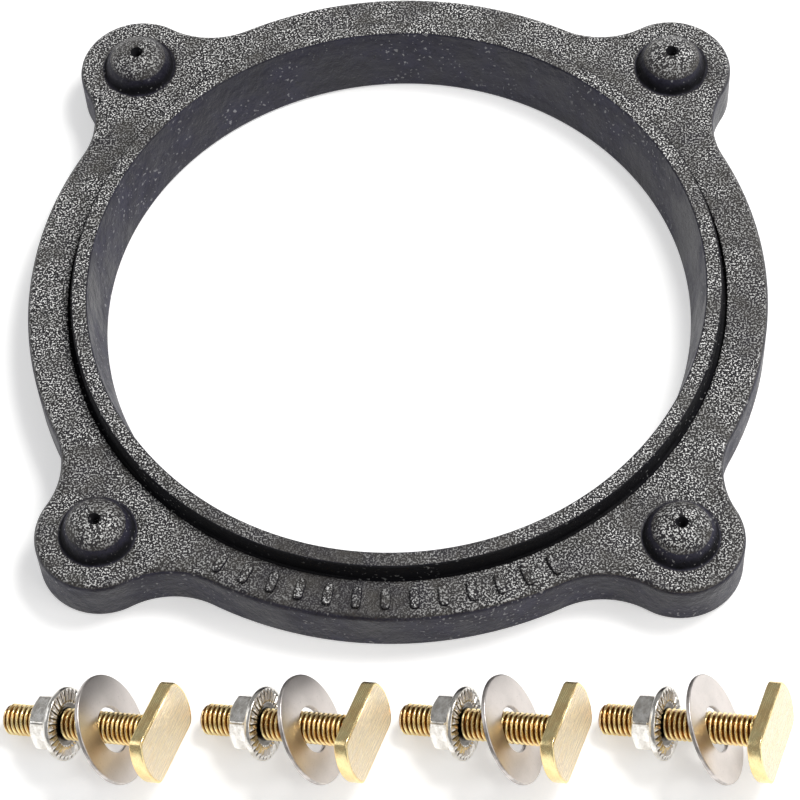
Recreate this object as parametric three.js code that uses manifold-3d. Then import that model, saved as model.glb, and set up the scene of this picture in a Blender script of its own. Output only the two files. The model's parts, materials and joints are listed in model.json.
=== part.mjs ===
// Toilet floor-flange seal kit, in millimetres, +Z up, laid out flat on a surface:
// one moulded rubber ring with four bolt lugs, and a row of four T-bolts in front of
// it, each carrying a loose plain washer and a serrated flange nut.

import * as THREE from 'three';
import { mergeVertices } from 'three/addons/utils/BufferGeometryUtils.js';
import Module from 'manifold-3d';

const wasm = await Module();
wasm.setup();

// ---- Driving dimensions: the seal ring ----
const boltCircleRadius = 79.375;
const lugCount = 4;
const rimRadius = 74.6;
const lugRadius = 12.45;
const lugFillet = 16.85;
const plateHeight = 10.8;
const plateEdge = 0.7;
const collarTop = 14.4;
const collarOuterRadius = 65.4;
const collarEdge = 0.5;
const boreTopRadius = 62.1;
const boreBottomRadius = 59.4;
const domeRadius = 7.0;
const domeHeight = 5.5;
const pocketRadius = 3.6;
const domeRoof = 2.2;
const pinholeRadius = 1.15;

// ---- Driving dimensions: one T-bolt set, measured from the thread tip ----
const boltRadius = 3.0;
const boltTipChamfer = 0.6;
const boltLength = 34.6;
const headThickness = 2.8;
const headRadius = 9.4;
const headAcrossFlats = 11.4;
const headTurn = -12;
const nutFaceAt = 7.5;
const nutHeight = 6.0;
const nutAcrossFlats = 10;
const nutHexHeight = 3.8;
const nutFlangeRadius = 7.0;
const nutFlangeBand = 1.2;
const nutBoreRadius = 3.3;
const nutChamfer = 0.8;
const washerAt = 22.4;
const washerRadius = 10.5;
const washerHoleRadius = 4.3;
const washerThickness = 0.8;
const washerEdge = 0.15;

// ---- Driving dimensions: how the row of sets lies ----
const setCount = 4;
const setPitch = 37.4;
const rowStart = [-71.0, -92.1];
const rowDrift = 0.37;
const boltRise = 19;
const boltYaw = 14;
const washerRise = 31;
const washerYaw = -2;
const floorGap = 0.03;

// ---- Facets ----
const boreFacets = 96;
const shankFacets = 24;
const washerFacets = 40;
const domeRings = 7;
const arcFacets = 7;

const rubber = { color: 0x26252b, roughness: 0.62, metalness: 0.0 };
const brass = { color: 0xd9b45a, roughness: 0.3, metalness: 1.0 };
const steel = { color: 0x9b9794, roughness: 0.22, metalness: 1.0 };
const zinc = { color: 0xc9ccd0, roughness: 0.28, metalness: 1.0 };

const radians = THREE.MathUtils.degToRad;

// A closed three.js geometry as a solid that can be joined and cut.
function solidOf(geometry) {
  const plain = geometry.clone();
  plain.deleteAttribute('normal');
  plain.deleteAttribute('uv');
  const merged = mergeVertices(plain, 1e-4);
  return new wasm.Manifold(new wasm.Mesh({
    numProp: 3,
    vertProperties: new Float32Array(merged.attributes.position.array),
    triVerts: new Uint32Array(merged.index.array),
  }));
}

// A solid back as a three.js geometry.
function geometryOf(solid) {
  const mesh = solid.getMesh();
  const geometry = new THREE.BufferGeometry();
  geometry.setAttribute('position', new THREE.BufferAttribute(mesh.vertProperties, 3));
  geometry.setIndex(new THREE.BufferAttribute(mesh.triVerts, 1));
  geometry.computeVertexNormals();
  return geometry;
}

// A profile of [radius, height] points turned about +Z.
function turned(profile, facets) {
  const points = profile.map(([radius, height]) => new THREE.Vector2(radius, height));
  return new THREE.LatheGeometry(points, facets).rotateX(Math.PI / 2);
}

function named(name, geometry, look) {
  const mesh = new THREE.Mesh(geometry, new THREE.MeshStandardMaterial(look));
  mesh.name = name;
  return mesh;
}

// The plan of the ring: a circle with a round lug on each diagonal. Each side of a lug
// runs into the circle on a hollow fillet that touches both.
function ringOutline() {
  const toRim = rimRadius + lugFillet;
  const toLug = lugRadius + lugFillet;
  const along = (toRim ** 2 - toLug ** 2 + boltCircleRadius ** 2) / (2 * boltCircleRadius);
  const across = Math.sqrt(toRim ** 2 - along ** 2);
  const rimAngle = Math.atan2(across, along);
  const lugAngle = Math.atan2(across, along - boltCircleRadius);
  const outline = new THREE.Shape();
  for (let lug = 0; lug < lugCount; lug += 1) {
    const middle = (lug + 0.5) * 2 * Math.PI / lugCount;
    const next = middle + 2 * Math.PI / lugCount;
    const [c, s] = [Math.cos(middle), Math.sin(middle)];
    const before = [along * c + across * s, along * s - across * c];
    const after = [along * c - across * s, along * s + across * c];
    outline.absarc(...before, lugFillet, middle - rimAngle + Math.PI, middle - lugAngle + Math.PI, true);
    outline.absarc(boltCircleRadius * c, boltCircleRadius * s, lugRadius,
      middle - lugAngle, middle + lugAngle, false);
    outline.absarc(...after, lugFillet, middle + lugAngle + Math.PI, middle + rimAngle + Math.PI, true);
    outline.absarc(0, 0, rimRadius, middle + rimAngle, next - rimAngle, false);
  }
  return outline;
}

// The ring: a flat plate with rounded edges, a raised collar round a bore that narrows
// downwards, and on each lug a dome over a bolt pocket that opens below.
function sealRing() {
  const plate = new THREE.ExtrudeGeometry(ringOutline(), {
    depth: plateHeight - 2 * plateEdge,
    bevelThickness: plateEdge,
    bevelSize: plateEdge,
    bevelOffset: -plateEdge,
    bevelSegments: 2,
    curveSegments: arcFacets,
  }).translate(0, 0, plateEdge);
  const collarFoot = plateHeight / 2;
  const collar = turned([
    [0, collarFoot],
    [collarOuterRadius, collarFoot],
    [collarOuterRadius, collarTop - collarEdge],
    [collarOuterRadius - collarEdge, collarTop],
    [0, collarTop],
  ], boreFacets);
  const boreTaper = (boreTopRadius - boreBottomRadius) / collarTop;
  const overrun = 1;
  const bore = turned([
    [0, -overrun],
    [boreBottomRadius - overrun * boreTaper, -overrun],
    [boreTopRadius + overrun * boreTaper, collarTop + overrun],
    [0, collarTop + overrun],
  ], boreFacets);
  let ring = solidOf(plate).add(solidOf(collar)).subtract(solidOf(bore));

  const domeProfile = [[0, collarFoot], [domeRadius, collarFoot]];
  for (let step = 0; step < domeRings; step += 1) {
    const lift = step / domeRings * Math.PI / 2;
    domeProfile.push([domeRadius * Math.cos(lift), plateHeight + domeHeight * Math.sin(lift)]);
  }
  domeProfile.push([0, plateHeight + domeHeight]);
  const pocketTop = plateHeight + domeHeight - domeRoof;
  const pocketShoulder = pocketTop - pocketRadius / 2;
  const pocketProfile = [
    [0, -overrun],
    [pocketRadius, -overrun],
    [pocketRadius, pocketShoulder],
    [pinholeRadius, pocketTop],
    [pinholeRadius, plateHeight + domeHeight + overrun],
    [0, plateHeight + domeHeight + overrun],
  ];
  const dome = solidOf(turned(domeProfile, shankFacets));
  const pocket = solidOf(turned(pocketProfile, shankFacets));
  for (let lug = 0; lug < lugCount; lug += 1) {
    const middle = (lug + 0.5) * 2 * Math.PI / lugCount;
    const place = [boltCircleRadius * Math.cos(middle), boltCircleRadius * Math.sin(middle), 0];
    ring = ring.add(dome.translate(place)).subtract(pocket.translate(place));
  }
  return geometryOf(ring);
}

// The T-bolt, tip at the origin, along +Z: a round shank under a flat plate head,
// whose two long sides are straight and whose ends are round.
function tBolt() {
  const shank = turned([
    [0, 0],
    [boltRadius - boltTipChamfer, 0],
    [boltRadius, boltTipChamfer],
    [boltRadius, boltLength - headThickness / 2],
    [0, boltLength - headThickness / 2],
  ], shankFacets);
  const end = Math.asin(headAcrossFlats / 2 / headRadius);
  const plan = new THREE.Shape();
  plan.absarc(0, 0, headRadius, -end, end, false);
  plan.absarc(0, 0, headRadius, Math.PI - end, Math.PI + end, false);
  const head = new THREE.ExtrudeGeometry(plan, {
    depth: headThickness,
    bevelEnabled: false,
    curveSegments: arcFacets,
  }).translate(0, 0, boltLength - headThickness).rotateZ(radians(headTurn));
  return geometryOf(solidOf(shank).add(solidOf(head)));
}

// The flange nut, outer hexagon face at the origin, along +Z: a chamfered hexagon that
// flares into a round flange, whose far face grips the washer.
function flangeNut() {
  const cornerRadius = nutAcrossFlats / 2 / Math.cos(Math.PI / 6);
  const hexagon = new THREE.CylinderGeometry(cornerRadius, cornerRadius, nutHeight, 6)
    .rotateX(Math.PI / 2).rotateZ(Math.PI / 6).translate(0, 0, nutHeight / 2);
  const envelope = turned([
    [0, 0],
    [cornerRadius - nutChamfer, 0],
    [cornerRadius, nutChamfer / 2],
    [cornerRadius, nutHeight],
    [0, nutHeight],
  ], shankFacets);
  const flange = turned([
    [0, nutHexHeight],
    [nutAcrossFlats / 2, nutHexHeight],
    [nutFlangeRadius, nutHeight - nutFlangeBand],
    [nutFlangeRadius, nutHeight],
    [0, nutHeight],
  ], shankFacets);
  const bore = new THREE.CylinderGeometry(nutBoreRadius, nutBoreRadius, 3 * nutHeight, shankFacets)
    .rotateX(Math.PI / 2);
  const body = solidOf(hexagon).intersect(solidOf(envelope)).add(solidOf(flange));
  return geometryOf(body.subtract(solidOf(bore)));
}

// The washer about its own centre, its axis along +Z.
function washer() {
  const half = washerThickness / 2;
  return turned([
    [washerHoleRadius, -half],
    [washerRadius - washerEdge, -half],
    [washerRadius, -half + washerEdge],
    [washerRadius, half - washerEdge],
    [washerRadius - washerEdge, half],
    [washerHoleRadius, half],
    [washerHoleRadius, -half],
  ], washerFacets);
}

// A turn that carries +Z onto a direction that rises and yaws from +X, and keeps the
// piece's own +X level.
function lying(rise, yaw) {
  const axis = new THREE.Vector3(
    Math.cos(radians(rise)) * Math.cos(radians(yaw)),
    -Math.cos(radians(rise)) * Math.sin(radians(yaw)),
    Math.sin(radians(rise)),
  );
  const level = new THREE.Vector3(Math.sin(radians(yaw)), Math.cos(radians(yaw)), 0);
  const third = new THREE.Vector3().crossVectors(axis, level);
  return new THREE.Matrix4().makeBasis(level, third, axis);
}

// One set lying on the surface: the thread tip and the washer's lower edge both touch
// it, and the washer leans on the shank.
function boltSet(number, tipX, tipY, pieces) {
  const boltBasis = lying(boltRise, boltYaw);
  const along = new THREE.Vector3().setFromMatrixColumn(boltBasis, 2);
  const lift = radians(boltRise);
  const tipHeight = floorGap + boltRadius * Math.cos(lift) - boltTipChamfer * Math.sin(lift);
  const tip = new THREE.Vector3(tipX, tipY, tipHeight);
  const set = new THREE.Group();

  const bolt = named(`t_bolt_${number}`, pieces.bolt, brass);
  bolt.quaternion.setFromRotationMatrix(boltBasis);
  bolt.position.copy(tip);

  const nut = named(`flange_nut_${number}`, pieces.nut, zinc);
  nut.quaternion.copy(bolt.quaternion);
  nut.position.copy(tip).addScaledVector(along, nutFaceAt);

  const ring = named(`washer_${number}`, pieces.washer, steel);
  const rise = radians(washerRise);
  ring.quaternion.setFromRotationMatrix(lying(washerRise, washerYaw));
  ring.position.copy(tip).addScaledVector(along, washerAt);
  ring.position.z = floorGap + washerRadius * Math.cos(rise) + washerThickness / 2 * Math.sin(rise);

  set.add(bolt, nut, ring);
  return set;
}

const kit = new THREE.Group();
kit.add(named('flange_seal', sealRing(), rubber));

const pieces = { bolt: tBolt(), nut: flangeNut(), washer: washer() };
for (let place = 0; place < setCount; place += 1) {
  const tipX = rowStart[0] + place * setPitch;
  const tipY = rowStart[1] + place * rowDrift;
  kit.add(boltSet(place + 1, tipX, tipY, pieces));
}

// The origin is the middle of the whole kit's box, on the surface it lies on.
const middle = new THREE.Box3().setFromObject(kit, true).getCenter(new THREE.Vector3());
kit.position.set(-middle.x, -middle.y, 0);

export default kit;
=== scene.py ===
import json
import math

import bpy
import numpy as np
from mathutils import Matrix, Vector
from mathutils.geometry import delaunay_2d_cdt


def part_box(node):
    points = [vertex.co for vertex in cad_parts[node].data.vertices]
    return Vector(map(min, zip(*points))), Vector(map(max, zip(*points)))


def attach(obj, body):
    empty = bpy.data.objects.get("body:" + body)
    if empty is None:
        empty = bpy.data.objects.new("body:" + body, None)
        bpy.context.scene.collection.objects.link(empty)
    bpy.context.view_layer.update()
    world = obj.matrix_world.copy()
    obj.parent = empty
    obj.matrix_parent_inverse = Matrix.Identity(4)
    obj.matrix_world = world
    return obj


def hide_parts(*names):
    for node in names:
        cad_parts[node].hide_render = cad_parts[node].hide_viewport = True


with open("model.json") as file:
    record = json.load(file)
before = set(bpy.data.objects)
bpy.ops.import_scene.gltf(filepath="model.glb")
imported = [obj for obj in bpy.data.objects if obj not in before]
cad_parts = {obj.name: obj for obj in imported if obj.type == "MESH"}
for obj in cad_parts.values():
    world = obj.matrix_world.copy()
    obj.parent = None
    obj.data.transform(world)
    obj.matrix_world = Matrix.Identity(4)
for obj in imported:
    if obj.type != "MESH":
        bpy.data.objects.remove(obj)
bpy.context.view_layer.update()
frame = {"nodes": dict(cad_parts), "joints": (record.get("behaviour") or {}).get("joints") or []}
mm = 0.001
fullTurn = 2 * math.pi


class Surface:
    # Gathers grids of points, each point with a shade value, and makes one mesh of them. The mesh also keeps
    # every point's coordinates in the piece's own axes, in millimetres, as its place.
    def __init__(self):
        self.points, self.shade, self.quads, self.triangles = [], [], [], []
        self.count = 0

    def add(self, points, shade):
        # Numbers the points on from those already there, and gives the numbers back in the grid's shape.
        shape = points.shape[:-1]
        index = np.arange(self.count, self.count + int(np.prod(shape))).reshape(shape)
        self.points.append(points.reshape(-1, 3))
        self.shade.append(np.broadcast_to(shade, shape).reshape(-1))
        self.count += index.size
        return index

    def weave(self, index):
        # Each row of a closed grid is joined to the next: rows run along the profile, columns go round.
        beside = np.roll(index, -1, axis=1)
        quads = np.stack([index[:-1], beside[:-1], beside[1:], index[1:]], axis=-1)
        self.quads.append(quads.reshape(-1, 4))

    def cap(self, row, points, shade, first):
        # A fan from one row of a grid to its middle point; first says that the row starts its grid.
        pole = self.add(points.mean(axis=0)[None], shade)
        fan = np.stack([row, np.roll(row, -1), np.full(len(row), pole[0])], axis=-1)
        self.triangles.append(fan[:, ::-1] if first else fan)

    def mesh(self, name, axes, origin):
        # A point goes to the origin, in metres, plus its own coordinates along the rows of axes.
        local = np.concatenate(self.points)
        points = local * mm @ axes + origin
        quads = np.concatenate(self.quads)
        triangles = np.concatenate(self.triangles) if self.triangles else np.zeros((0, 3), int)
        corners = np.concatenate([quads.ravel(), triangles.ravel()])
        starts = np.concatenate([np.arange(len(quads)) * 4, quads.size + np.arange(len(triangles)) * 3])
        mesh = bpy.data.meshes.new(name)
        mesh.vertices.add(len(points))
        mesh.vertices.foreach_set("co", points.astype(np.float32).ravel())
        mesh.loops.add(len(corners))
        mesh.loops.foreach_set("vertex_index", corners.astype(np.int32))
        mesh.polygons.add(len(starts))
        mesh.polygons.foreach_set("loop_start", starts.astype(np.int32))
        mesh.update(calc_edges=True)
        mesh.validate()
        mesh.shade_smooth()
        shade = mesh.attributes.new("shade", "FLOAT", "POINT")
        shade.data.foreach_set("value", np.concatenate(self.shade).astype(np.float32))
        place = mesh.attributes.new("place", "FLOAT_VECTOR", "POINT")
        place.data.foreach_set("vector", local.astype(np.float32).ravel())
        return mesh


def finishPiece(mesh, body, node, material):
    # The mesh as an object at the origin, which rides one body and stands for one CAD node.
    piece = bpy.data.objects.new(mesh.name, mesh)
    bpy.context.scene.collection.objects.link(piece)
    mesh.materials.append(material)
    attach(piece, body)
    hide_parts(node)
    return piece


def roundedProfile(corners, radii, steps=6):
    # A polyline of (across, up) corners in which each inner corner gives way to an arc of its own radius. The
    # arc touches both sides, so it starts the radius times the tangent of half the turn before the corner.
    corners = np.array(corners, float)
    parts = [corners[:1]]
    for before, corner, after, radius in zip(corners[:-2], corners[1:-1], corners[2:], radii):
        into = (corner - before) / np.linalg.norm(corner - before)
        away = (after - corner) / np.linalg.norm(after - corner)
        turn = math.atan2(into[0] * away[1] - into[1] * away[0], into @ away)
        side = np.array([-into[1], into[0]]) * math.copysign(radius, turn)
        start = corner - into * radius * math.tan(abs(turn) / 2)
        angle = np.linspace(0, abs(turn), steps + 1)[:, None]
        parts.append(start + side * (1 - np.cos(angle)) + into * radius * np.sin(angle))
    parts.append(corners[-1:])
    return np.concatenate(parts)


def turnedGrid(profile, columns, centre=(0, 0)):
    # A profile of (radius, height) turned about an upright axis.
    angle = np.arange(columns) * fullTurn / columns
    points = np.empty((len(profile), columns, 3))
    points[..., 0] = centre[0] + profile[:, :1] * np.cos(angle)
    points[..., 1] = centre[1] + profile[:, :1] * np.sin(angle)
    points[..., 2] = profile[:, 1:]
    return points


def stackRings(rings, columns):
    # Each ring is (radius, height, shade), given for rows and columns or for either alone. The rings follow
    # one another as the rows of one grid.
    shapes = [(np.broadcast_shapes(np.shape(radius), np.shape(height), (1, 1))[0], columns)
              for radius, height, _ in rings]
    return [np.concatenate([np.broadcast_to(ring[part], shape) for ring, shape in zip(rings, shapes)])
            for part in range(3)]


def aroundAxis(radius, height, angle):
    # Points at a radius and an angle round the third axis, and at a height along it.
    return np.stack([radius * np.cos(angle), radius * np.sin(angle), height], axis=-1)


def smoothStep(value):
    # Three times the square less twice the cube, for a value held to 0..1.
    value = np.clip(value, 0, 1)
    return value * value * (3 - 2 * value)


# shader building

def feed(tree, socket, value):
    # Links an input to another socket, or sets it to a plain value.
    if isinstance(value, bpy.types.NodeSocket):
        tree.links.new(value, socket)
    else:
        socket.default_value = value


def addNode(tree, kind, inputs, **properties):
    # A node with its properties set and then its inputs fed, which are given by socket name or number.
    node = tree.nodes.new("ShaderNode" + kind)
    for key, value in properties.items():
        setattr(node, key, value)
    for label, value in inputs.items():
        feed(tree, node.inputs[label], value)
    return node


def startGroup(name, inputs, outputs):
    # A node group with its inputs as (name, kind, first value) and its outputs as (name, kind).
    group = bpy.data.node_groups.new(name, "ShaderNodeTree")
    for label, kind, value in inputs:
        socket = group.interface.new_socket(name=label, in_out="INPUT", socket_type="NodeSocket" + kind)
        if value is not None:
            socket.default_value = value
    for label, kind in outputs:
        group.interface.new_socket(name=label, in_out="OUTPUT", socket_type="NodeSocket" + kind)
    return group, group.nodes.new("NodeGroupInput").outputs, group.nodes.new("NodeGroupOutput").inputs


def ramp(tree, value, low, high, lowTo=0.0, highTo=1.0):
    # A value mapped smoothly from low..high to lowTo..highTo.
    return addNode(tree, "MapRange", {
        "Value": value, "From Min": low, "From Max": high, "To Min": lowTo, "To Max": highTo,
    }, interpolation_type="SMOOTHSTEP").outputs["Result"]


def calculate(tree, operation, first, second=0.0, clamp=False):
    # One operation of arithmetic on two values, held to 0..1 where clamp is set.
    return addNode(tree, "Math", {0: first, 1: second}, operation=operation, use_clamp=clamp).outputs[0]


def blend(tree, factor, first, second):
    # The first colour where the factor is 0, and the second where it is 1.
    node = addNode(tree, "Mix", {"Factor": factor}, data_type="RGBA")
    feed(tree, node.inputs[6], first)
    feed(tree, node.inputs[7], second)
    return node.outputs[2]


def noise(tree, place, scale, detail, roughness, lacunarity=2.0):
    # Smooth noise about one half, with finer and weaker noise laid over it.
    return addNode(tree, "TexNoise", {
        "Vector": place, "Scale": scale, "Detail": detail, "Roughness": roughness, "Lacunarity": lacunarity,
    }).outputs["Fac"]


def colour(red, green, blue):
    # A display colour, 0 to 255, as the linear colour that shaders use. With c as a share of 255, that is
    # (c + 0.055) / 1.055 to the power 2.4, or c / 12.92 for the darkest tones.
    linear = [((c / 255 + 0.055) / 1.055) ** 2.4 if c > 10 else c / 3294.6 for c in (red, green, blue)]
    return (*linear, 1.0)


grainNoise = {
    "detail": 0.6, "roughness": 0.6, "pitScale": 1.37, "pitDetail": 1.0, "pitRoughness": 0.5,
    "pitLacunarity": 2.6, "blotchDetail": 5.0, "blotchRoughness": 0.62, "blotchRange": (0.3, 0.7),
    "speckSteepness": 26.0,
}


def makeGrainGroup(look):
    # The height is the mean of two fine noises. Bright specks are where the first is over the speck level,
    # dark ones where the second is under 1 less that level, and blotches are slow noise. Sizes are in mm.
    group, given, out = startGroup(
        "fineGrain",
        [("Place", "Vector", None), ("Grain Size", "Float", 0.4), ("Blotch Size", "Float", 12.0),
         ("Speck Level", "Float", 0.62)],
        [("Height", "Float"), ("Bright Specks", "Float"), ("Dark Specks", "Float"), ("Blotches", "Float")])
    place, level, links = given["Place"], given["Speck Level"], group.links
    perGrain = calculate(group, "DIVIDE", 1.0, given["Grain Size"])
    perBlotch = calculate(group, "DIVIDE", 1.0, given["Blotch Size"])
    fine = noise(group, place, perGrain, look["detail"], look["roughness"])
    perPit = calculate(group, "MULTIPLY", perGrain, look["pitScale"])
    pits = noise(group, place, perPit, look["pitDetail"], look["pitRoughness"], look["pitLacunarity"])
    slow = noise(group, place, perBlotch, look["blotchDetail"], look["blotchRoughness"])
    links.new(calculate(group, "MULTIPLY", calculate(group, "ADD", fine, pits), 0.5), out["Height"])
    over = calculate(group, "SUBTRACT", fine, level)
    links.new(calculate(group, "MULTIPLY", over, look["speckSteepness"], clamp=True), out["Bright Specks"])
    under = calculate(group, "SUBTRACT", calculate(group, "SUBTRACT", 1.0, level), pits)
    links.new(calculate(group, "MULTIPLY", under, look["speckSteepness"], clamp=True), out["Dark Specks"])
    links.new(ramp(group, slow, *look["blotchRange"]), out["Blotches"])
    return group


wearNoise = {
    "brokenScale": 0.9, "brokenDetail": 4.0, "brokenRoughness": 0.7, "brokenRange": (0.35, 0.65),
    "edgeRange": (0.8, 1.0), "stretch": (0.06, 1.0, 1.0), "lineDetail": 3.0, "lineRoughness": 0.65,
    "lineRange": (0.4, 0.62),
}


def makeWearGroup(look):
    # Wear is the raised edges times broken noise times the amount. Scratches are fine noise drawn out along
    # the first axis.
    group, given, out = startGroup(
        "handlingWear",
        [("Place", "Vector", None), ("Edge", "Float", 0.5), ("Amount", "Float", 0.5),
         ("Scratch Spacing", "Float", 0.12)],
        [("Wear", "Float"), ("Scratches", "Float")])
    broken = noise(group, given["Place"], look["brokenScale"], look["brokenDetail"], look["brokenRoughness"])
    edge = ramp(group, given["Edge"], *look["edgeRange"])
    raised = calculate(group, "MULTIPLY", edge, ramp(group, broken, *look["brokenRange"]))
    group.links.new(calculate(group, "MULTIPLY", raised, given["Amount"], clamp=True), out["Wear"])
    drawnOut = addNode(group, "VectorMath", {0: given["Place"], 1: look["stretch"]}, operation="MULTIPLY")
    perLine = calculate(group, "DIVIDE", 1.0, given["Scratch Spacing"])
    lines = noise(group, drawnOut.outputs[0], perLine, look["lineDetail"], look["lineRoughness"])
    group.links.new(ramp(group, lines, *look["lineRange"]), out["Scratches"])
    return group


grainGroup, wearGroup = makeGrainGroup(grainNoise), makeWearGroup(wearNoise)


def startMaterial(name):
    # A material with its shader, and each point's place and shade as the mesh gives them.
    material = bpy.data.materials.new(name)
    material.use_nodes = True
    tree = material.node_tree
    shader = tree.nodes["Principled BSDF"]
    place = addNode(tree, "Attribute", {}, attribute_name="place").outputs["Vector"]
    shade = addNode(tree, "Attribute", {}, attribute_name="shade").outputs["Fac"]
    return material, tree, shader, place, shade


def placeGroup(tree, group, **inputs):
    # A group's node with its inputs fed by name, with an underscore where the name has a space.
    node = tree.nodes.new("ShaderNodeGroup")
    node.node_tree = group
    for label, value in inputs.items():
        feed(tree, node.inputs[label.replace("_", " ")], value)
    return node.outputs


def turnedPlace(tree, place, degrees):
    # The place seen from axes that are turned about the third one.
    return addNode(tree, "Mapping", {
        "Vector": place, "Rotation": (0, 0, math.radians(degrees))}, vector_type="TEXTURE").outputs[0]


def addBump(tree, shader, height, relief, strength):
    # A relief in millimetres where the height is 1.
    bump = addNode(tree, "Bump", {"Strength": strength, "Distance": relief * mm, "Height": height})
    tree.links.new(bump.outputs[0], shader.inputs["Normal"])


rubberLook = {  # tones, sizes in mm, and ramps as (low, high, low to, high to)
    "deep": (15, 14, 27), "open": (48, 47, 66), "rubbed": (66, 63, 60), "skin": (44, 43, 42),
    "mottled": (24, 22, 36), "paintedGlint": (255, 255, 254), "pitAndShade": (1, 1, 4),
    "grainSize": 0.36, "blotchSize": 13.0, "speckLevel": 0.54,
    "dustSize": 0.7, "dustBlotch": 5.0, "dustLevel": 0.67, "darkDust": 0.8,
    "rubbedRamp": (0.0, 0.12), "skinRamp": (0.0, 1.0, 0.3, 1.0), "mottle": 0.75,
    "smallPatches": (0.05, 0.6, 0.5, 1.0), "largePatches": (0.1, 0.6, 0.4, 1.0),
    # the painted shade, where shade is below 0, takes its gain, breaks, tone and extra roughness from these
    # two lines
    "scatter": (0.35, 0.8, 0.0, 0.2), "paintedShade": 2.0, "shadeBreaks": 0.9, "shadeStrength": 0.9,
    "shadeRoughness": 0.4, "roughness": (0.0, 1.0, 0.34, 0.6),
    "skinRelief": 0.85, "wallRelief": 0.15, "dustRelief": 0.8, "relief": 0.325, "bump": 1.0, "specular": 0.36,
}


def makeRubber(look):
    # Smooth moulded rubber where shade is 0, a rubbed tone just above it, a coarse skin with painted glints on
    # its peaks and dark pits where it is 1, and painted shade below 0. Dust is a second, larger grain laid
    # over everything, with painted glints of its own.
    material, tree, shader, place, shade = startMaterial("seal_rubber")
    grain = placeGroup(tree, grainGroup, Place=place, Grain_Size=look["grainSize"],
                       Blotch_Size=look["blotchSize"], Speck_Level=look["speckLevel"])
    dustAndGlints = placeGroup(tree, grainGroup, Place=place, Grain_Size=look["dustSize"],
                      Blotch_Size=look["dustBlotch"], Speck_Level=look["dustLevel"])
    onSkin = calculate(tree, "MULTIPLY", shade, 1.0, clamp=True)

    def times(first, second):
        return calculate(tree, "MULTIPLY", first, second)

    base = blend(tree, grain["Blotches"], colour(*look["deep"]), colour(*look["open"]))
    base = blend(tree, ramp(tree, shade, *look["rubbedRamp"]), base, colour(*look["rubbed"]))
    skin = times(onSkin, ramp(tree, grain["Blotches"], *look["skinRamp"]))
    base = blend(tree, skin, base, colour(*look["skin"]))
    base = blend(tree, times(dustAndGlints["Blotches"], look["mottle"]), base, colour(*look["mottled"]))
    # Painted shade where shade is below 0: the base goes to the darkest tone, broken up by the blotches, and
    # grows rougher.
    hollow = times(shade, -look["paintedShade"])
    paintedShade = calculate(tree, "SUBTRACT", hollow, times(dustAndGlints["Blotches"], look["shadeBreaks"]), clamp=True)
    base = blend(tree, times(paintedShade, look["shadeStrength"]), base, colour(*look["pitAndShade"]))

    patches = times(ramp(tree, dustAndGlints["Blotches"], *look["smallPatches"]),
                    ramp(tree, grain["Blotches"], *look["largePatches"]))
    textured = times(onSkin, patches)
    # Painted glints: white specks on the skin's peaks, and scattered ones from the coarser grain on every
    # face.
    base = blend(tree, times(grain["Bright Specks"], textured), base, colour(*look["paintedGlint"]))
    base = blend(tree, times(grain["Dark Specks"], textured), base, colour(*look["pitAndShade"]))
    scattered = ramp(tree, grain["Blotches"], *look["scatter"])
    base = blend(tree, times(dustAndGlints["Bright Specks"], scattered), base, colour(*look["paintedGlint"]))
    base = blend(tree, times(dustAndGlints["Dark Specks"], look["darkDust"]), base, colour(*look["pitAndShade"]))
    tree.links.new(base, shader.inputs["Base Color"])

    rough = ramp(tree, grain["Blotches"], *look["roughness"])
    rough = calculate(tree, "ADD", rough, times(paintedShade, look["shadeRoughness"]))
    tree.links.new(rough, shader.inputs["Roughness"])
    depth = calculate(tree, "ADD", times(onSkin, look["skinRelief"]), look["wallRelief"])
    height = times(grain["Height"], depth)
    height = calculate(tree, "ADD", height, times(dustAndGlints["Blotches"], look["dustRelief"]))
    addBump(tree, shader, height, look["relief"], look["bump"])
    shader.inputs["Specular IOR Level"].default_value = look["specular"]
    return material


brassLook = {  # tones, sizes in mm, and ramps as (low, high, low to, high to)
    "polished": (255, 238, 180), "pale": (244, 229, 202), "tarnish": (232, 158, 72), "rootShade": (84, 32, 2),
    "grainSize": 0.25, "blotchSize": 3.5, "speckLevel": 0.66, "scratchSpacing": 0.16, "handled": 0.9,
    "crestRamp": (0.1, 0.72), "headRamp": (0.9, 1.0), "tarnished": 0.35, "worn": 0.35,
    "brushed": (0.0, 1.0, 0.95, 0.55), "roughness": (0.0, 1.0, 0.16, 0.36), "satin": 0.7,
    "grainRelief": 0.5, "relief": 0.02, "bump": 0.7,
}


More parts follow.
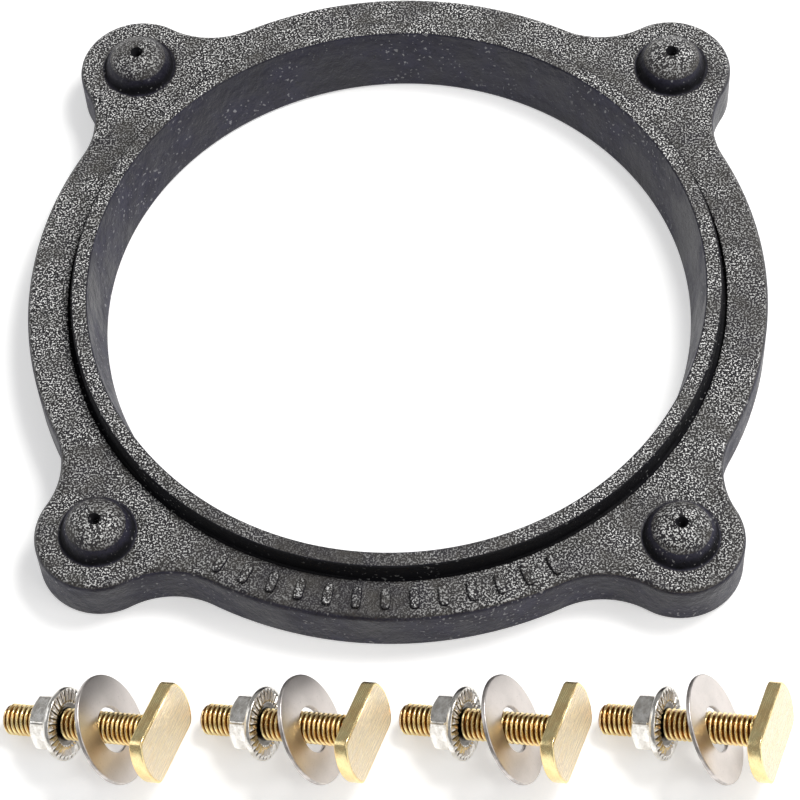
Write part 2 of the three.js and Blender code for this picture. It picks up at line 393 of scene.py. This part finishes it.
def makeBrass(look):
    # Crests and faces are polished, and the thread roots and the neck under the head carry painted shade in
    # dark brown. The head is paler, less of a mirror, and brushed along its length.
    material, tree, shader, place, shade = startMaterial("bolt_brass")
    wear = placeGroup(tree, wearGroup, Place=turnedPlace(tree, place, bolt["headTurn"]), Edge=shade,
                      Amount=look["handled"], Scratch_Spacing=look["scratchSpacing"])
    grain = placeGroup(tree, grainGroup, Place=place, Grain_Size=look["grainSize"],
                       Blotch_Size=look["blotchSize"], Speck_Level=look["speckLevel"])
    pale = colour(*look["pale"])
    onHead = ramp(tree, shade, *look["headRamp"])
    crest = ramp(tree, shade, *look["crestRamp"])
    # painted shade: dark brown in the thread roots, giving way to polished brass on the crests
    base = blend(tree, crest, colour(*look["rootShade"]), colour(*look["polished"]))
    tarnished = calculate(tree, "MULTIPLY", grain["Blotches"], look["tarnished"])
    base = blend(tree, tarnished, base, colour(*look["tarnish"]))
    brushed = calculate(tree, "MULTIPLY", ramp(tree, wear["Scratches"], *look["brushed"]), onHead)
    base = blend(tree, brushed, base, pale)
    base = blend(tree, calculate(tree, "MULTIPLY", wear["Wear"], look["worn"]), base, pale)
    tree.links.new(base, shader.inputs["Base Color"])
    tree.links.new(ramp(tree, wear["Scratches"], *look["roughness"]), shader.inputs["Roughness"])
    lines = calculate(tree, "MULTIPLY", wear["Scratches"], onHead)
    height = calculate(tree, "ADD", lines, calculate(tree, "MULTIPLY", grain["Height"], look["grainRelief"]))
    addBump(tree, shader, height, look["relief"], look["bump"])
    satin = calculate(tree, "MULTIPLY", onHead, look["satin"])
    tree.links.new(calculate(tree, "SUBTRACT", 1.0, satin), shader.inputs["Metallic"])
    return material


steelLook = {  # what both steels share
    "handled": 0.8, "crossing": 63, "crossSpacing": 1.7, "speckLevel": 0.68, "worn": 0.6, "specks": 0.6,
    "hollowRamp": (0.7, 0.2), "scratchRelief": 0.4, "bump": 0.6,
}


def makeSteel(name, look):
    # Plain or plated steel: faint blotches, two sets of fine scratches that cross, edges in their own tone
    # where they are worn (on the washer a darker tone, which is painted shade along its rims), and painted
    # shade in the hollows, where shade is low.
    material, tree, shader, place, shade = startMaterial(name)
    wear = placeGroup(tree, wearGroup, Place=place, Edge=shade, Amount=steelLook["handled"],
                      Scratch_Spacing=look["scratchSpacing"])
    across = placeGroup(tree, wearGroup, Place=turnedPlace(tree, place, steelLook["crossing"]),
                        Scratch_Spacing=look["scratchSpacing"] * steelLook["crossSpacing"])
    grain = placeGroup(tree, grainGroup, Place=place, Grain_Size=look["grainSize"],
                       Blotch_Size=look["blotchSize"], Speck_Level=steelLook["speckLevel"])
    base = blend(tree, grain["Blotches"], colour(*look["dark"]), colour(*look["light"]))
    worn = calculate(tree, "MULTIPLY", wear["Wear"], steelLook["worn"])
    base = blend(tree, worn, base, colour(*look["edge"]))
    specks = calculate(tree, "MULTIPLY", grain["Dark Specks"], steelLook["specks"])
    base = blend(tree, specks, base, colour(*look["speck"]))
    # painted shade: the hollows, where shade is low, go to the dark hollow tone
    base = blend(tree, ramp(tree, shade, *steelLook["hollowRamp"]), base, colour(*look["hollow"]))
    tree.links.new(base, shader.inputs["Base Color"])
    scratch = calculate(tree, "MAXIMUM", wear["Scratches"], across["Scratches"])
    tree.links.new(ramp(tree, scratch, *look["roughness"]), shader.inputs["Roughness"])
    scored = calculate(tree, "MULTIPLY", scratch, steelLook["scratchRelief"])
    addBump(tree, shader, calculate(tree, "ADD", scored, grain["Height"]), look["relief"], steelLook["bump"])
    shader.inputs["Metallic"].default_value = 1.0
    return material


washerLook = {
    # the washer's dark edge tone is painted shade, a dark line along its rims where the wear mask falls
    "dark": (204, 198, 194), "light": (220, 213, 209), "edge": (120, 116, 114), "speck": (178, 172, 168),
    "hollow": (70, 64, 60), "grainSize": 0.5, "blotchSize": 9.0, "scratchSpacing": 0.1,
    "roughness": (0.0, 1.0, 0.3, 0.36), "relief": 0.001,
}
zincLook = {
    "dark": (190, 184, 174), "light": (255, 253, 249), "edge": (254, 254, 252), "speck": (90, 86, 82),
    "hollow": (10, 8, 6), "grainSize": 0.3, "blotchSize": 2.6, "scratchSpacing": 0.14,
    "roughness": (0.0, 1.0, 0.12, 0.26), "relief": 0.008,
}


# the seal ring

seal = {  # lengths in mm, angles in degrees
    "boltCircle": 79.375, "lugs": 4, "rim": 74.6, "lug": 12.45, "lugFillet": 16.85,
    "plate": 10.8, "topEdge": 1.3, "footEdge": 0.7, "shoulder": 0.5, "edgeSteps": 8,
    "collarTop": 14.4, "collar": 65.4, "boreTop": 62.1, "boreFoot": 59.4, "boreFloor": 2, "boreColumns": 384,
    "grooveDepth": 1.1, "grooveWidth": 0.9, "grooveLip": 0.8, "grooveSlant": (0.15, 0.1),
    "boreRadii": [0.3, 0.3, 0.3, 0.55, 0.4, 0.7],
    "dome": 7.0, "domeHeight": 5.4, "domeArc": (4, 78), "domeRows": 28, "domeColumns": 88, "domeRoof": 2.2,
    "domeFoot": 1.1, "moatAcross": 0.25, "moatDepth": 0.12, "moatRadius": 0.2, "pinhole": 1.3,
    "pinholeTaper": 0.25, "pocket": 3.6, "pocketTaper": 1.8, "pocketRim": 1.2,
    "roofRadii": [0.2, 0.2, 0.7, 0.4],
    "ribs": 13, "ribArc": 54, "ribCircle": 70.3, "ribLength": 2.3, "ribWidth": 0.95, "ribHeight": 0.6,
    "ribColumns": 28, "ribEnds": 0.45, "ribSides": 0.7, "ribInset": (0, 0, 0.06, 0.2, 0.34),
    # the rib's lowest rows have shade below 0: painted shade round its foot
    "ribTaper": (0.25, 1.0), "ribRise": (-0.3, 0.5, 0.82, 0.97, 1.0), "ribShade": (-1.0, -0.9, 0.0, 0.5, 0.7),
    "rubbed": 0.9, "rubbedArc": 27, "rubbedAt": -9,
    "skinStart": 0.5, "skinFade": 0.45, "footShade": 0.55, "footShare": 0.8, "cornerSlack": 0.04,
    "grooveShadow": 0.9, "collarCorner": 0.4, "flankShade": 0.7, "crownPower": 1.5, "moatShade": 0.6,
    "moatReach": 0.4, "arcSteps": (26, 56, 26, 52), "weld": 1e-7, "slack": 0.05, "fillSlack": 0.01,
}


def sealPlan(s):
    # The plan as touching arcs. Each lug has a hollow fillet, its own round and a second fillet, and the rim
    # follows. A fillet's centre is where circles of rim + fillet and lug + fillet cross.
    toRim, toLug = s["rim"] + s["lugFillet"], s["lug"] + s["lugFillet"]
    along = (toRim ** 2 - toLug ** 2 + s["boltCircle"] ** 2) / (2 * s["boltCircle"])
    across = math.sqrt(toRim ** 2 - along ** 2)
    rimAngle, lugAngle = math.atan2(across, along), math.atan2(across, along - s["boltCircle"])
    pitch = fullTurn / s["lugs"]
    arcs = [  # centre along the lug's spoke and across it, radius, first and last angle, +1 where it bulges
        (along, -across, s["lugFillet"], math.pi - rimAngle, math.pi - lugAngle, -1),
        (s["boltCircle"], 0, s["lug"], -lugAngle, lugAngle, 1),
        (along, across, s["lugFillet"], math.pi + lugAngle, math.pi + rimAngle, -1),
        (0, 0, s["rim"], rimAngle, pitch - rimAngle, 1),
    ]
    middle = lugAngles(s)[:, None]
    points, outward = [], []
    for (x, y, radius, first, last, bulge), count in zip(arcs, s["arcSteps"]):
        turned = middle + first + (last - first) * np.arange(count) / count
        ray = np.stack([np.cos(turned), np.sin(turned)], axis=-1)
        centre = np.stack([x * np.cos(middle) - y * np.sin(middle),
                           x * np.sin(middle) + y * np.cos(middle)], axis=-1)
        points.append(centre + ray * radius)
        outward.append(ray * bulge)
    return np.concatenate(points, axis=1).reshape(-1, 2), np.concatenate(outward, axis=1).reshape(-1, 2)


def lugAngles(s):
    # The lugs' directions from the middle, evenly spaced from half a space past the first axis.
    return (np.arange(s["lugs"]) + 0.5) * fullTurn / s["lugs"]


def skinLeft(points, s):
    # How much of the coarse skin is left: all of it but for a rubbed arc at the front, which falls off as a
    # bell curve.
    fromFront = np.arctan2(points[..., 0], -points[..., 1]) - math.radians(s["rubbedAt"])
    return 1 - s["rubbed"] * np.exp(-(fromFront / math.radians(s["rubbedArc"])) ** 2)


def domeProfile(s):
    # Up a rounded dome to the pinhole's lip, down through the roof, and along the pocket to the underside.
    rise = np.radians(np.linspace(*s["domeArc"], s["domeRows"]))
    dome = np.stack([s["dome"] * np.cos(rise), s["plate"] + s["domeHeight"] * np.sin(rise)], axis=-1)
    foot = roundedProfile([
        [s["dome"] + s["domeFoot"], s["plate"]],
        [s["dome"] + s["moatAcross"], s["plate"] - s["moatDepth"]], dome[0],
    ], [s["moatRadius"]], 4)
    crown = s["plate"] + s["domeHeight"]
    under = crown - s["domeRoof"]
    rest = roundedProfile([
        dome[-1], [s["pinhole"], crown], [s["pinhole"] * s["pinholeTaper"], under],
        [s["pocket"], under - s["pocketTaper"]], [s["pocket"], 0], [s["pocket"] + s["pocketRim"], 0],
    ], s["roofRadii"], 5)
    return np.concatenate([foot[:-1], dome, rest[1:]])


def fillLevel(surface, s, loops, keep, up):
    # A level face between closed loops that are already there, as the triangles whose middles pass keep().
    vertex = np.concatenate(loops)
    flat = np.concatenate(surface.points)[vertex, :2]
    starts = np.cumsum([0] + [len(loop) for loop in loops])
    edges = np.concatenate([
        np.stack([np.arange(first, last), np.roll(np.arange(first, last), -1)], axis=-1)
        for first, last in zip(starts[:-1], starts[1:])])
    corners = [Vector(point) for point in flat.tolist()]
    points, _, faces, origins, _, _ = delaunay_2d_cdt(corners, edges.tolist(), [], 0, s["weld"])
    faces = np.array([o[0] for o in origins])[np.array([list(f) for f in faces])]
    a, b, c = flat[faces].transpose(1, 0, 2)
    turn = (b[:, 0] - a[:, 0]) * (c[:, 1] - a[:, 1]) - (b[:, 1] - a[:, 1]) * (c[:, 0] - a[:, 0])
    faces = np.where(((turn > 0) == up)[:, None], faces, faces[:, ::-1])
    surface.triangles.append(vertex[faces[keep((a + b + c) / 3)]])


def addRib(surface, s, angle):
    # A low pill-shaped pad that points to the ring's middle: a rounded outline drawn in as it rises, with
    # painted shade round its foot.
    turn = np.arange(s["ribColumns"]) * fullTurn / s["ribColumns"]
    outline = np.stack([
        np.sign(np.cos(turn)) * np.abs(np.cos(turn)) ** s["ribEnds"] * s["ribLength"],
        np.sign(np.sin(turn)) * np.abs(np.sin(turn)) ** s["ribSides"] * s["ribWidth"]], axis=-1)
    inset = np.array(s["ribInset"])[:, None]
    height, shade = np.array(s["ribRise"]) * s["ribHeight"] + s["plate"], np.array(s["ribShade"])
    drawn = outline[None] * (1 - inset[..., None] * np.array(s["ribTaper"]))
    points = np.empty(drawn.shape[:2] + (3,))
    points[..., 0] = (s["ribCircle"] + drawn[..., 0]) * math.cos(angle) - drawn[..., 1] * math.sin(angle)
    points[..., 1] = (s["ribCircle"] + drawn[..., 0]) * math.sin(angle) + drawn[..., 1] * math.cos(angle)
    points[..., 2] = height[:, None]
    index = surface.add(points, shade[:, None])
    surface.weave(index)
    surface.cap(index[0], points[0], shade[0], True)
    surface.cap(index[-1], points[-1], shade[-1], False)


def addOuterWall(surface, s, plan, outward):
    # The plan moved out and up along a rounded section. The skin fades in over the top edge, and the foot has
    # painted shade in patches, where the wall meets the floor.
    foot, top = s["footEdge"] + s["shoulder"], s["topEdge"] + s["shoulder"]
    wall = roundedProfile([[-foot, 0], [0, 0], [0, s["plate"]], [-top, s["plate"]]],
                          [s["footEdge"], s["topEdge"]], s["edgeSteps"])
    points = np.empty((len(wall), len(plan), 3))
    points[..., :2] = plan + outward * wall[:, None, :1]
    points[..., 2] = wall[:, None, 1]
    skin = smoothStep((wall[:, 1] - s["plate"] + s["skinStart"]) / s["skinFade"])
    # painted shade along the lowest rows of the foot
    skin = skin - s["footShade"] * (wall[:, 1] < s["footEdge"] * s["footShare"])
    index = surface.add(points, skinLeft(points, s) * skin[:, None])
    surface.weave(index)
    return index


def addBore(surface, s):
    # From the plate down into the groove, up and over the collar, and down the tapered bore. The collar's top
    # and the plate have skin, the groove and the collar's side have painted shade, and the bore is smooth.
    floor, far = s["plate"] - s["grooveDepth"], s["collar"] + s["grooveWidth"]
    outwards, inwards = s["grooveSlant"]
    bore = roundedProfile([
        [far + s["grooveLip"], s["plate"]], [far + outwards, s["plate"]], [far - inwards, floor],
        [s["collar"], floor], [s["collar"], s["collarTop"]], [s["boreTop"], s["collarTop"]],
        [s["boreFoot"], 0], [s["boreFoot"] + s["boreFloor"], 0],
    ], s["boreRadii"], 6)
    onCollar = bore[:, 1] > s["collarTop"] - s["cornerSlack"]
    onPlate = (bore[:, 0] > far) & (bore[:, 1] > floor + s["grooveShadow"])
    onTop = onCollar | onPlate
    inGroove = (bore[:, 0] > s["collar"] - s["collarCorner"]) & ~onTop
    points = turnedGrid(bore, s["boreColumns"])
    # a shade of -1 in the groove and up the collar's side paints shade there
    index = surface.add(points, np.where(onTop, skinLeft(points, s).T, np.where(inGroove, -1.0, 0.0)).T)
    surface.weave(index)
    return index, bore


def addDomes(surface, s, spots):
    # The dome's profile turned at each spot. The crown has skin, which gives way to painted shade down the
    # flank, in the shallow moat round the foot and in the pinhole.
    profile, slack = domeProfile(s), s["slack"]
    up = profile[:, 1] - s["plate"]
    # painted shade below 0: down the flank, in the moat and in the pinhole
    flank = (1 + s["flankShade"]) * smoothStep(up / s["domeHeight"]) ** s["crownPower"] - s["flankShade"]
    shade = np.where(up < -slack, -s["moatShade"], flank)
    shade = np.where((up >= -slack) & (profile[:, 0] > s["dome"] + s["moatReach"]), 1.0, shade)
    shade = np.where(profile[:, 0] < s["pinhole"] - slack, -1.0, shade)
    indices = [surface.add(turnedGrid(profile, s["domeColumns"], spot), shade[:, None]) for spot in spots]
    for index in indices:
        surface.weave(index)
    return indices, profile


def sealSurface(s):
    # An outer wall, a bore and four domes, joined by level faces above and below, and a row of ribs.
    surface = Surface()
    plan, outward = sealPlan(s)
    outer = addOuterWall(surface, s, plan, outward)
    inner, bore = addBore(surface, s)
    spots = s["boltCircle"] * np.stack([np.cos(lugAngles(s)), np.sin(lugAngles(s))], axis=-1)
    domes, profile = addDomes(surface, s, spots)
    angleOfPlan = np.arctan2(plan[:, 1], plan[:, 0])
    order = np.argsort(angleOfPlan)

    def between(inset, hole, domeHole):
        # A test of points: inside the inset plan, outside the middle hole and clear of the four domes.
        reach = np.linalg.norm(plan - outward * inset, axis=1)[order]

        def keep(middle):
            away = np.linalg.norm(middle, axis=1)
            angle = np.arctan2(middle[:, 1], middle[:, 0])
            limit = np.interp(angle, angleOfPlan[order], reach, period=fullTurn)
            clear = np.linalg.norm(middle[:, None] - spots, axis=-1).min(axis=1) > domeHole
            return (away < limit) & (away > hole) & clear
        return keep

    for end, start, edge, up in ((-1, 0, s["topEdge"], True), (0, -1, s["footEdge"], False)):
        loops = [outer[end], inner[start]] + [dome[start] for dome in domes]
        hole, domeHole = bore[start, 0] - s["fillSlack"], profile[start, 0] - 2 * s["fillSlack"]
        keep = between(edge + s["shoulder"], hole, domeHole)
        fillLevel(surface, s, loops, keep, up)
    arc = math.radians(s["ribArc"])
    for angle in np.linspace(-arc / 2, arc / 2, s["ribs"]) - math.pi / 2:
        addRib(surface, s, angle)
    return surface


sealLow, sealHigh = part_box("flange_seal")
ringCentre = np.array([(sealLow.x + sealHigh.x) / 2, (sealLow.y + sealHigh.y) / 2, sealLow.z])
sealMesh = sealSurface(seal).mesh("seal_ring", np.eye(3), ringCentre)
sealPiece = finishPiece(sealMesh, "seal", "flange_seal", makeRubber(rubberLook))
print("seal ring:", len(sealPiece.data.polygons), "faces")


# the bolt sets

bolt = {
    "radius": 3.0, "threadDepth": 0.58, "pitch": 1.0, "crestSlope": 1.3, "crestFlat": 0.2, "length": 34.6,
    "tip": 2.3, "neck": 1.3, "neckRadius": 2.6, "neckFade": 0.7, "fillet": 0.3,
    "head": 2.8, "headRadius": 9.4, "acrossFlats": 11.4, "headTurn": -12, "headEdge": 0.35,
    "cornerPower": 24.0, "pip": 0.12, "pipRadius": 0.5, "pipFade": 0.4, "crestShade": 0.85, "neckShade": 0.3,
    "columns": 96, "rowsPerTurn": 14,
}


def threadRadius(along, angle, b):
    # The outer radius less a rounded V groove that follows a right-hand helix and leaves a flat crest.
    phase = np.mod(along / b["pitch"] - angle / fullTurn, 1.0)
    groove = smoothStep((1 - 2 * np.abs(phase - 0.5)) * b["crestSlope"] - b["crestFlat"])
    return b["radius"] - b["threadDepth"] * groove


def headOutline(angle, b, inset=0.0):
    # The edge of a round plate with two straight sides, eased where they meet: the inverse powers of both
    # radii are added.
    nearlyNone = 1e-6
    fromFlats = np.maximum(np.abs(np.sin(angle - math.radians(b["headTurn"]))), nearlyNone)
    flat, power = (b["acrossFlats"] / 2 - inset) / fromFlats, b["cornerPower"]
    return (flat ** -power + (b["headRadius"] - inset) ** -power) ** (-1 / power)


def boltSurface(b):
    # From the tip's middle along the threaded shank and the plain neck, out under the head, round its edge,
    # and in over its face to a small pip.
    angle = np.arange(b["columns"]) * fullTurn / b["columns"]
    headBack, edge, fillet = b["length"] - b["head"], b["headEdge"], b["fillet"]
    threadRows = int((headBack - fillet) / b["pitch"] * b["rowsPerTurn"])
    shank = np.linspace(0, headBack - fillet, threadRows)[:, None]
    radius = np.minimum(threadRadius(shank, angle, b), b["tip"] + shank)
    radius += (b["neckRadius"] - radius) * smoothStep((shank - headBack + b["neck"]) / b["neckFade"])
    # shade rises from the thread's roots to its crests; the brass paints shade where it is low, in roots and
    # neck
    crest = (radius - b["radius"] + b["threadDepth"]) / b["threadDepth"]
    crest = np.where(shank > headBack - b["neck"], b["neckShade"], crest * b["crestShade"])
    quarter = np.linspace(0, math.pi / 2, 8)[1:, None]
    inner, outer = headOutline(angle, b, edge), headOutline(angle, b)
    neck = b["neckRadius"] + fillet
    spread = np.linspace(0, 1, 8)[1:, None]
    face = np.linspace(1, 0.03, 26)[1:, None]
    pip = b["pip"] * (1 - smoothStep((face * b["headRadius"] - b["pipRadius"]) / b["pipFade"]))
    rings = [
        (np.linspace(0.1, 0.97, 5)[:, None] * b["tip"], 0.0, 0.5),
        (radius, shank, crest),
        (b["neckRadius"] + fillet * (1 - np.cos(quarter)), headBack - fillet * (1 - np.sin(quarter)),
         b["neckShade"]),
        (neck + (inner - neck) * spread, headBack, 0.7),
        (inner + (outer - inner) * np.sin(quarter), headBack + edge * (1 - np.cos(quarter)), 0.8),
        (outer, headBack + edge + (b["head"] - 2 * edge) * spread, 0.8),
        (outer - (outer - inner) * (1 - np.cos(quarter)),
         b["length"] - edge * (1 - np.sin(quarter)) - b["pip"] * np.sin(quarter), 0.9),
        (inner * face, b["length"] - b["pip"] + pip, 1.0),
    ]
    radius, height, shade = stackRings(rings, b["columns"])
    return radius, height, shade, angle


nut = {
    "faceAt": 7.5, "acrossFlats": 10.0, "height": 6.0, "hexHeight": 3.8, "cornerCut": 0.985,
    "faceShare": 0.95, "chamfer": 0.8, "flange": 7.0, "band": 1.1, "lip": 0.2, "lipEase": 0.05,
    "skirtPower": 0.9, "mouth": 3.3, "teeth": 30, "toothDepth": 0.5, "toothClimb": 0.7, "toothDrop": 0.3,
    "toothStart": 3, "toothEnd": 5, "toothTone": 2.2, "seat": 0.75, "seatDip": 0.25, "boreEnd": 0.3,
    "clearance": 0.05, "columns": 256,
}


def nutSurface(n, b):
    # Out over the hexagon's face, down its chamfer and sides, over the flange, in across the teeth, and back
    # through a bore whose thread follows the bolt's.
    angle = np.arange(n["columns"]) * fullTurn / n["columns"]
    sixth = math.pi / 3
    apothem = n["acrossFlats"] / 2
    corner = apothem / math.cos(sixth / 2)
    hexagon = np.minimum(apothem / np.cos(np.mod(angle, sixth) - sixth / 2), corner * n["cornerCut"])
    faceRadius = apothem * n["faceShare"]
    slope = n["chamfer"] / (corner - faceRadius)
    drop = np.linspace(0, n["chamfer"], 10)[1:, None]
    sides = np.linspace(n["chamfer"], n["hexHeight"], 8)[1:, None]
    skirt = np.linspace(0, 1, 16)[1:, None]
    bandTop, half = n["height"] - n["band"], n["band"] / 2 - n["lipEase"]
    skirtDrop = (1 - (1 - skirt ** 2) ** 0.5) ** n["skirtPower"]
    rim = np.linspace(-math.pi / 2, math.pi / 2, 11)[:, None]
    phase = np.mod(angle * n["teeth"] / fullTurn, 1.0)
    tooth = np.where(phase < n["toothClimb"], phase / n["toothClimb"], (1 - phase) / n["toothDrop"])
    # low shade in the grooves between the teeth, which the zinc paints as shade; the tone sets how narrow they
    # are
    toothShade = 0.1 + 0.9 * smoothStep(tooth * n["toothTone"])
    inward = np.linspace(0, 1, 14)[1:, None]
    outer, inner = n["flange"] - n["lip"], n["mouth"] + n["seat"]
    toothRise = n["toothDepth"] * smoothStep(inward * n["toothStart"])
    toothRise = toothRise * smoothStep((1 - inward) * n["toothEnd"])
    low = n["height"] - n["toothDepth"]
    bore = np.linspace(low, n["boreEnd"], int(n["height"] / b["pitch"] * b["rowsPerTurn"]))[:, None]
    threaded = threadRadius(bore + n["faceAt"], angle, b) + n["clearance"]
    rings = [
        (n["mouth"] + (faceRadius - n["mouth"]) * np.linspace(0, 1, 6)[:, None], 0.0, 0.9),
        (np.minimum(hexagon, faceRadius + drop / slope), drop, 0.9),
        (hexagon, sides, 0.8),
        (hexagon + (outer - hexagon) * skirt, n["hexHeight"] + (bandTop - n["hexHeight"]) * skirtDrop, 0.7),
        (outer + n["lip"] * np.cos(rim), low - half + half * np.sin(rim), 0.9),
        (outer + (inner - outer) * inward, low + toothRise * tooth, toothShade),
        # the seat and the threaded bore have low shade: painted shade inside the nut
        (inner + (n["mouth"] - inner) * inward, low - n["seatDip"] * inward, 0.4),
        (np.minimum(threaded, n["mouth"]), bore, 0.1),
    ]
    radius, height, shade = stackRings(rings, n["columns"])
    return radius, height, shade, angle


washer = {
    "radius": 10.5, "hole": 4.3, "thickness": 0.8, "rolledEdge": 0.3, "sharpEdge": 0.1, "edgeBand": 0.2,
    "rise": 31, "yaw": -2, "columns": 200,
}


def washerProfile(w):
    # A stamped disc's section: one face has sharp edges and the other has rolled ones.
    half, middle = w["thickness"] / 2, (w["radius"] + w["hole"]) / 2
    return roundedProfile([
        [middle, -half], [w["radius"], -half], [w["radius"], half],
        [w["hole"], half], [w["hole"], -half], [middle, -half],
    ], [w["sharpEdge"], w["rolledEdge"], w["rolledEdge"], w["sharpEdge"]], 7)


def washerSurface(w):
    # The section turned about the washer's axis, with a shade of 1 along its inner and outer edges.
    section = washerProfile(w)[:-1]
    middle, reach = (w["radius"] + w["hole"]) / 2, (w["radius"] - w["hole"]) / 2
    # the edge band takes the washer's darker edge tone: painted shade along the rims
    onEdge = np.abs(section[:, 0] - middle) > reach - w["edgeBand"]
    surface = Surface()
    index = surface.add(turnedGrid(section, w["columns"]), np.where(onEdge, 1.0, 0.8)[:, None])
    surface.weave(np.concatenate([index, index[:1]]))
    return surface


def washerAxis(w):
    # The direction that climbs from the floor by the rise, and turns clockwise from the first axis by the yaw.
    rise, yaw = math.radians(w["rise"]), math.radians(w["yaw"])
    return math.cos(rise) * math.cos(yaw), -math.cos(rise) * math.sin(yaw), math.sin(rise)


def axesAlong(along):
    # Rows: the level direction across a sloping axis, the third direction, and the axis itself.
    along = np.array(along, float) / np.linalg.norm(along)
    level = np.cross([0, 0, 1], along)
    level /= np.linalg.norm(level)
    return np.stack([level, np.cross(along, level), along])


def closedGrid(radius, height, shade, angle, closeEnds):
    # One grid round an axis: its ends are capped, or else its last row is joined to its first.
    surface = Surface()
    points = aroundAxis(radius, height, angle)
    index = surface.add(points, shade)
    if closeEnds:
        surface.weave(index)
        surface.cap(index[0], points[0], shade[0, 0], True)
        surface.cap(index[-1], points[-1], shade[-1, 0], False)
    else:
        surface.weave(np.concatenate([index, index[:1]]))
    return surface


brass = makeBrass(brassLook)
washerSteel, nutZinc = makeSteel("washer_steel", washerLook), makeSteel("nut_zinc", zincLook)
joints = {joint["name"]: joint for joint in frame["joints"]}
setNumbers = [name.rsplit("_", 1)[1] for name in frame["nodes"] if name.startswith("t_bolt_")]
for number in setNumbers:
    turnJoint = joints["t_bolt_" + number + "_turn"]
    tip, axes = np.array(turnJoint["pos_m"], float), axesAlong(turnJoint["axis"])
    boltMesh = closedGrid(*boltSurface(bolt), True).mesh("brass_t_bolt_" + number, axes, tip)
    finishPiece(boltMesh, "bolt_body_" + number, "t_bolt_" + number, brass)
    nutSeat = tip + axes[2] * nut["faceAt"] * mm
    nutMesh = closedGrid(*nutSurface(nut, bolt), False).mesh("serrated_nut_" + number, axes, nutSeat)
    finishPiece(nutMesh, "nut_body_" + number, "flange_nut_" + number, nutZinc)
    low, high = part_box("washer_" + number)
    middle = np.array((low + high) / 2)
    washerMesh = washerSurface(washer).mesh("plain_washer_" + number, axesAlong(washerAxis(washer)), middle)
    finishPiece(washerMesh, "washer_body_" + number, "washer_" + number, washerSteel)
print("bolt sets:", len(setNumbers))


# floor, light and camera

view = {
    "azimuth": 5.157, "elevation": 57.106, "distance": 632.465, "roll": -4.189, "lens": 139.16,
    "aimRight": 0.32, "aimUp": -16.68,  # from the ring's middle on the floor, across the view and up it
}
studio = {
    "floor": 0.9, "floorGlow": 0.42, "floorRoughness": 0.8, "floorShine": 0.1, "floorReach": 6.0,
    "world": 0.3,
    "lamps": [  # name, place, size, power, colour
        ("key softbox", (0.44, 0.34, 0.95), 0.36, 7.4, (1.0, 0.99, 0.97)),
        ("right softbox", (0.62, -0.35, 0.72), 0.6, 2.5, (1.0, 0.99, 0.98)),
        ("left softbox", (-0.75, 0.1, 0.45), 0.5, 1.0, (0.97, 0.98, 1.0)),
    ],
}


def makeFloor():
    # A level square of pale matt board that glows a little, so that it comes out white.
    side = studio["floorReach"]
    mesh = bpy.data.meshes.new("floor")
    corners = [(-side, -side, 0), (side, -side, 0), (side, side, 0), (-side, side, 0)]
    mesh.from_pydata(corners, [], [(0, 1, 2, 3)])
    floor = bpy.data.objects.new("floor", mesh)
    material = bpy.data.materials.new("pale_floor")
    material.use_nodes = True
    shader = material.node_tree.nodes["Principled BSDF"]
    shader.inputs["Base Color"].default_value = (studio["floor"],) * 3 + (1.0,)
    shader.inputs["Roughness"].default_value = studio["floorRoughness"]
    shader.inputs["Specular IOR Level"].default_value = studio["floorShine"]
    shader.inputs["Emission Color"].default_value = (1, 1, 1, 1)
    shader.inputs["Emission Strength"].default_value = studio["floorGlow"]
    mesh.materials.append(material)
    bpy.context.scene.collection.objects.link(floor)


def makeLamps():
    # Square softboxes that each face the origin, and an even white surround.
    for name, place, size, power, tone in studio["lamps"]:
        lamp = bpy.data.lights.new(name, "AREA")
        lamp.shape, lamp.size, lamp.energy, lamp.color = "SQUARE", size, power, tone
        holder = bpy.data.objects.new(name, lamp)
        holder.location = place
        holder.rotation_euler = (-Vector(place)).to_track_quat("-Z", "Y").to_euler()
        bpy.context.scene.collection.objects.link(holder)
    world = bpy.data.worlds.new("studio")
    world.use_nodes = True
    world.node_tree.nodes["Background"].inputs["Color"].default_value = (1, 1, 1, 1)
    world.node_tree.nodes["Background"].inputs["Strength"].default_value = studio["world"]
    bpy.context.scene.world = world


def makeCamera():
    # The camera stands on a line from the ring's middle at an azimuth and an elevation, looks at the aim
    # point, and is rolled about its line of sight.
    azimuth, elevation, roll = (math.radians(view[key]) for key in ("azimuth", "elevation", "roll"))
    outwards = Vector((math.sin(azimuth) * math.cos(elevation), -math.cos(azimuth) * math.cos(elevation),
                       math.sin(elevation)))
    level = Vector((math.cos(azimuth), math.sin(azimuth), 0))
    upright = outwards.cross(level)
    right = level * math.cos(roll) + upright * math.sin(roll)
    up = upright * math.cos(roll) - level * math.sin(roll)
    middle = Vector(ringCentre)
    eye = middle + outwards * view["distance"] * mm
    aim = middle + (right * view["aimRight"] + up * view["aimUp"]) * mm
    back = (eye - aim).normalized()
    right = (right - back * right.dot(back)).normalized()
    turn = Matrix((right, back.cross(right), back)).transposed().to_4x4()
    camera = bpy.data.cameras.new("camera")
    camera.lens, camera.sensor_width = view["lens"], 36
    holder = bpy.data.objects.new("camera", camera)
    holder.matrix_world = Matrix.Translation(eye) @ turn
    bpy.context.scene.collection.objects.link(holder)
    bpy.context.scene.camera = holder


makeFloor()
makeLamps()
makeCamera()
bpy.context.scene.view_settings.view_transform = "Standard"
print("studio ready")
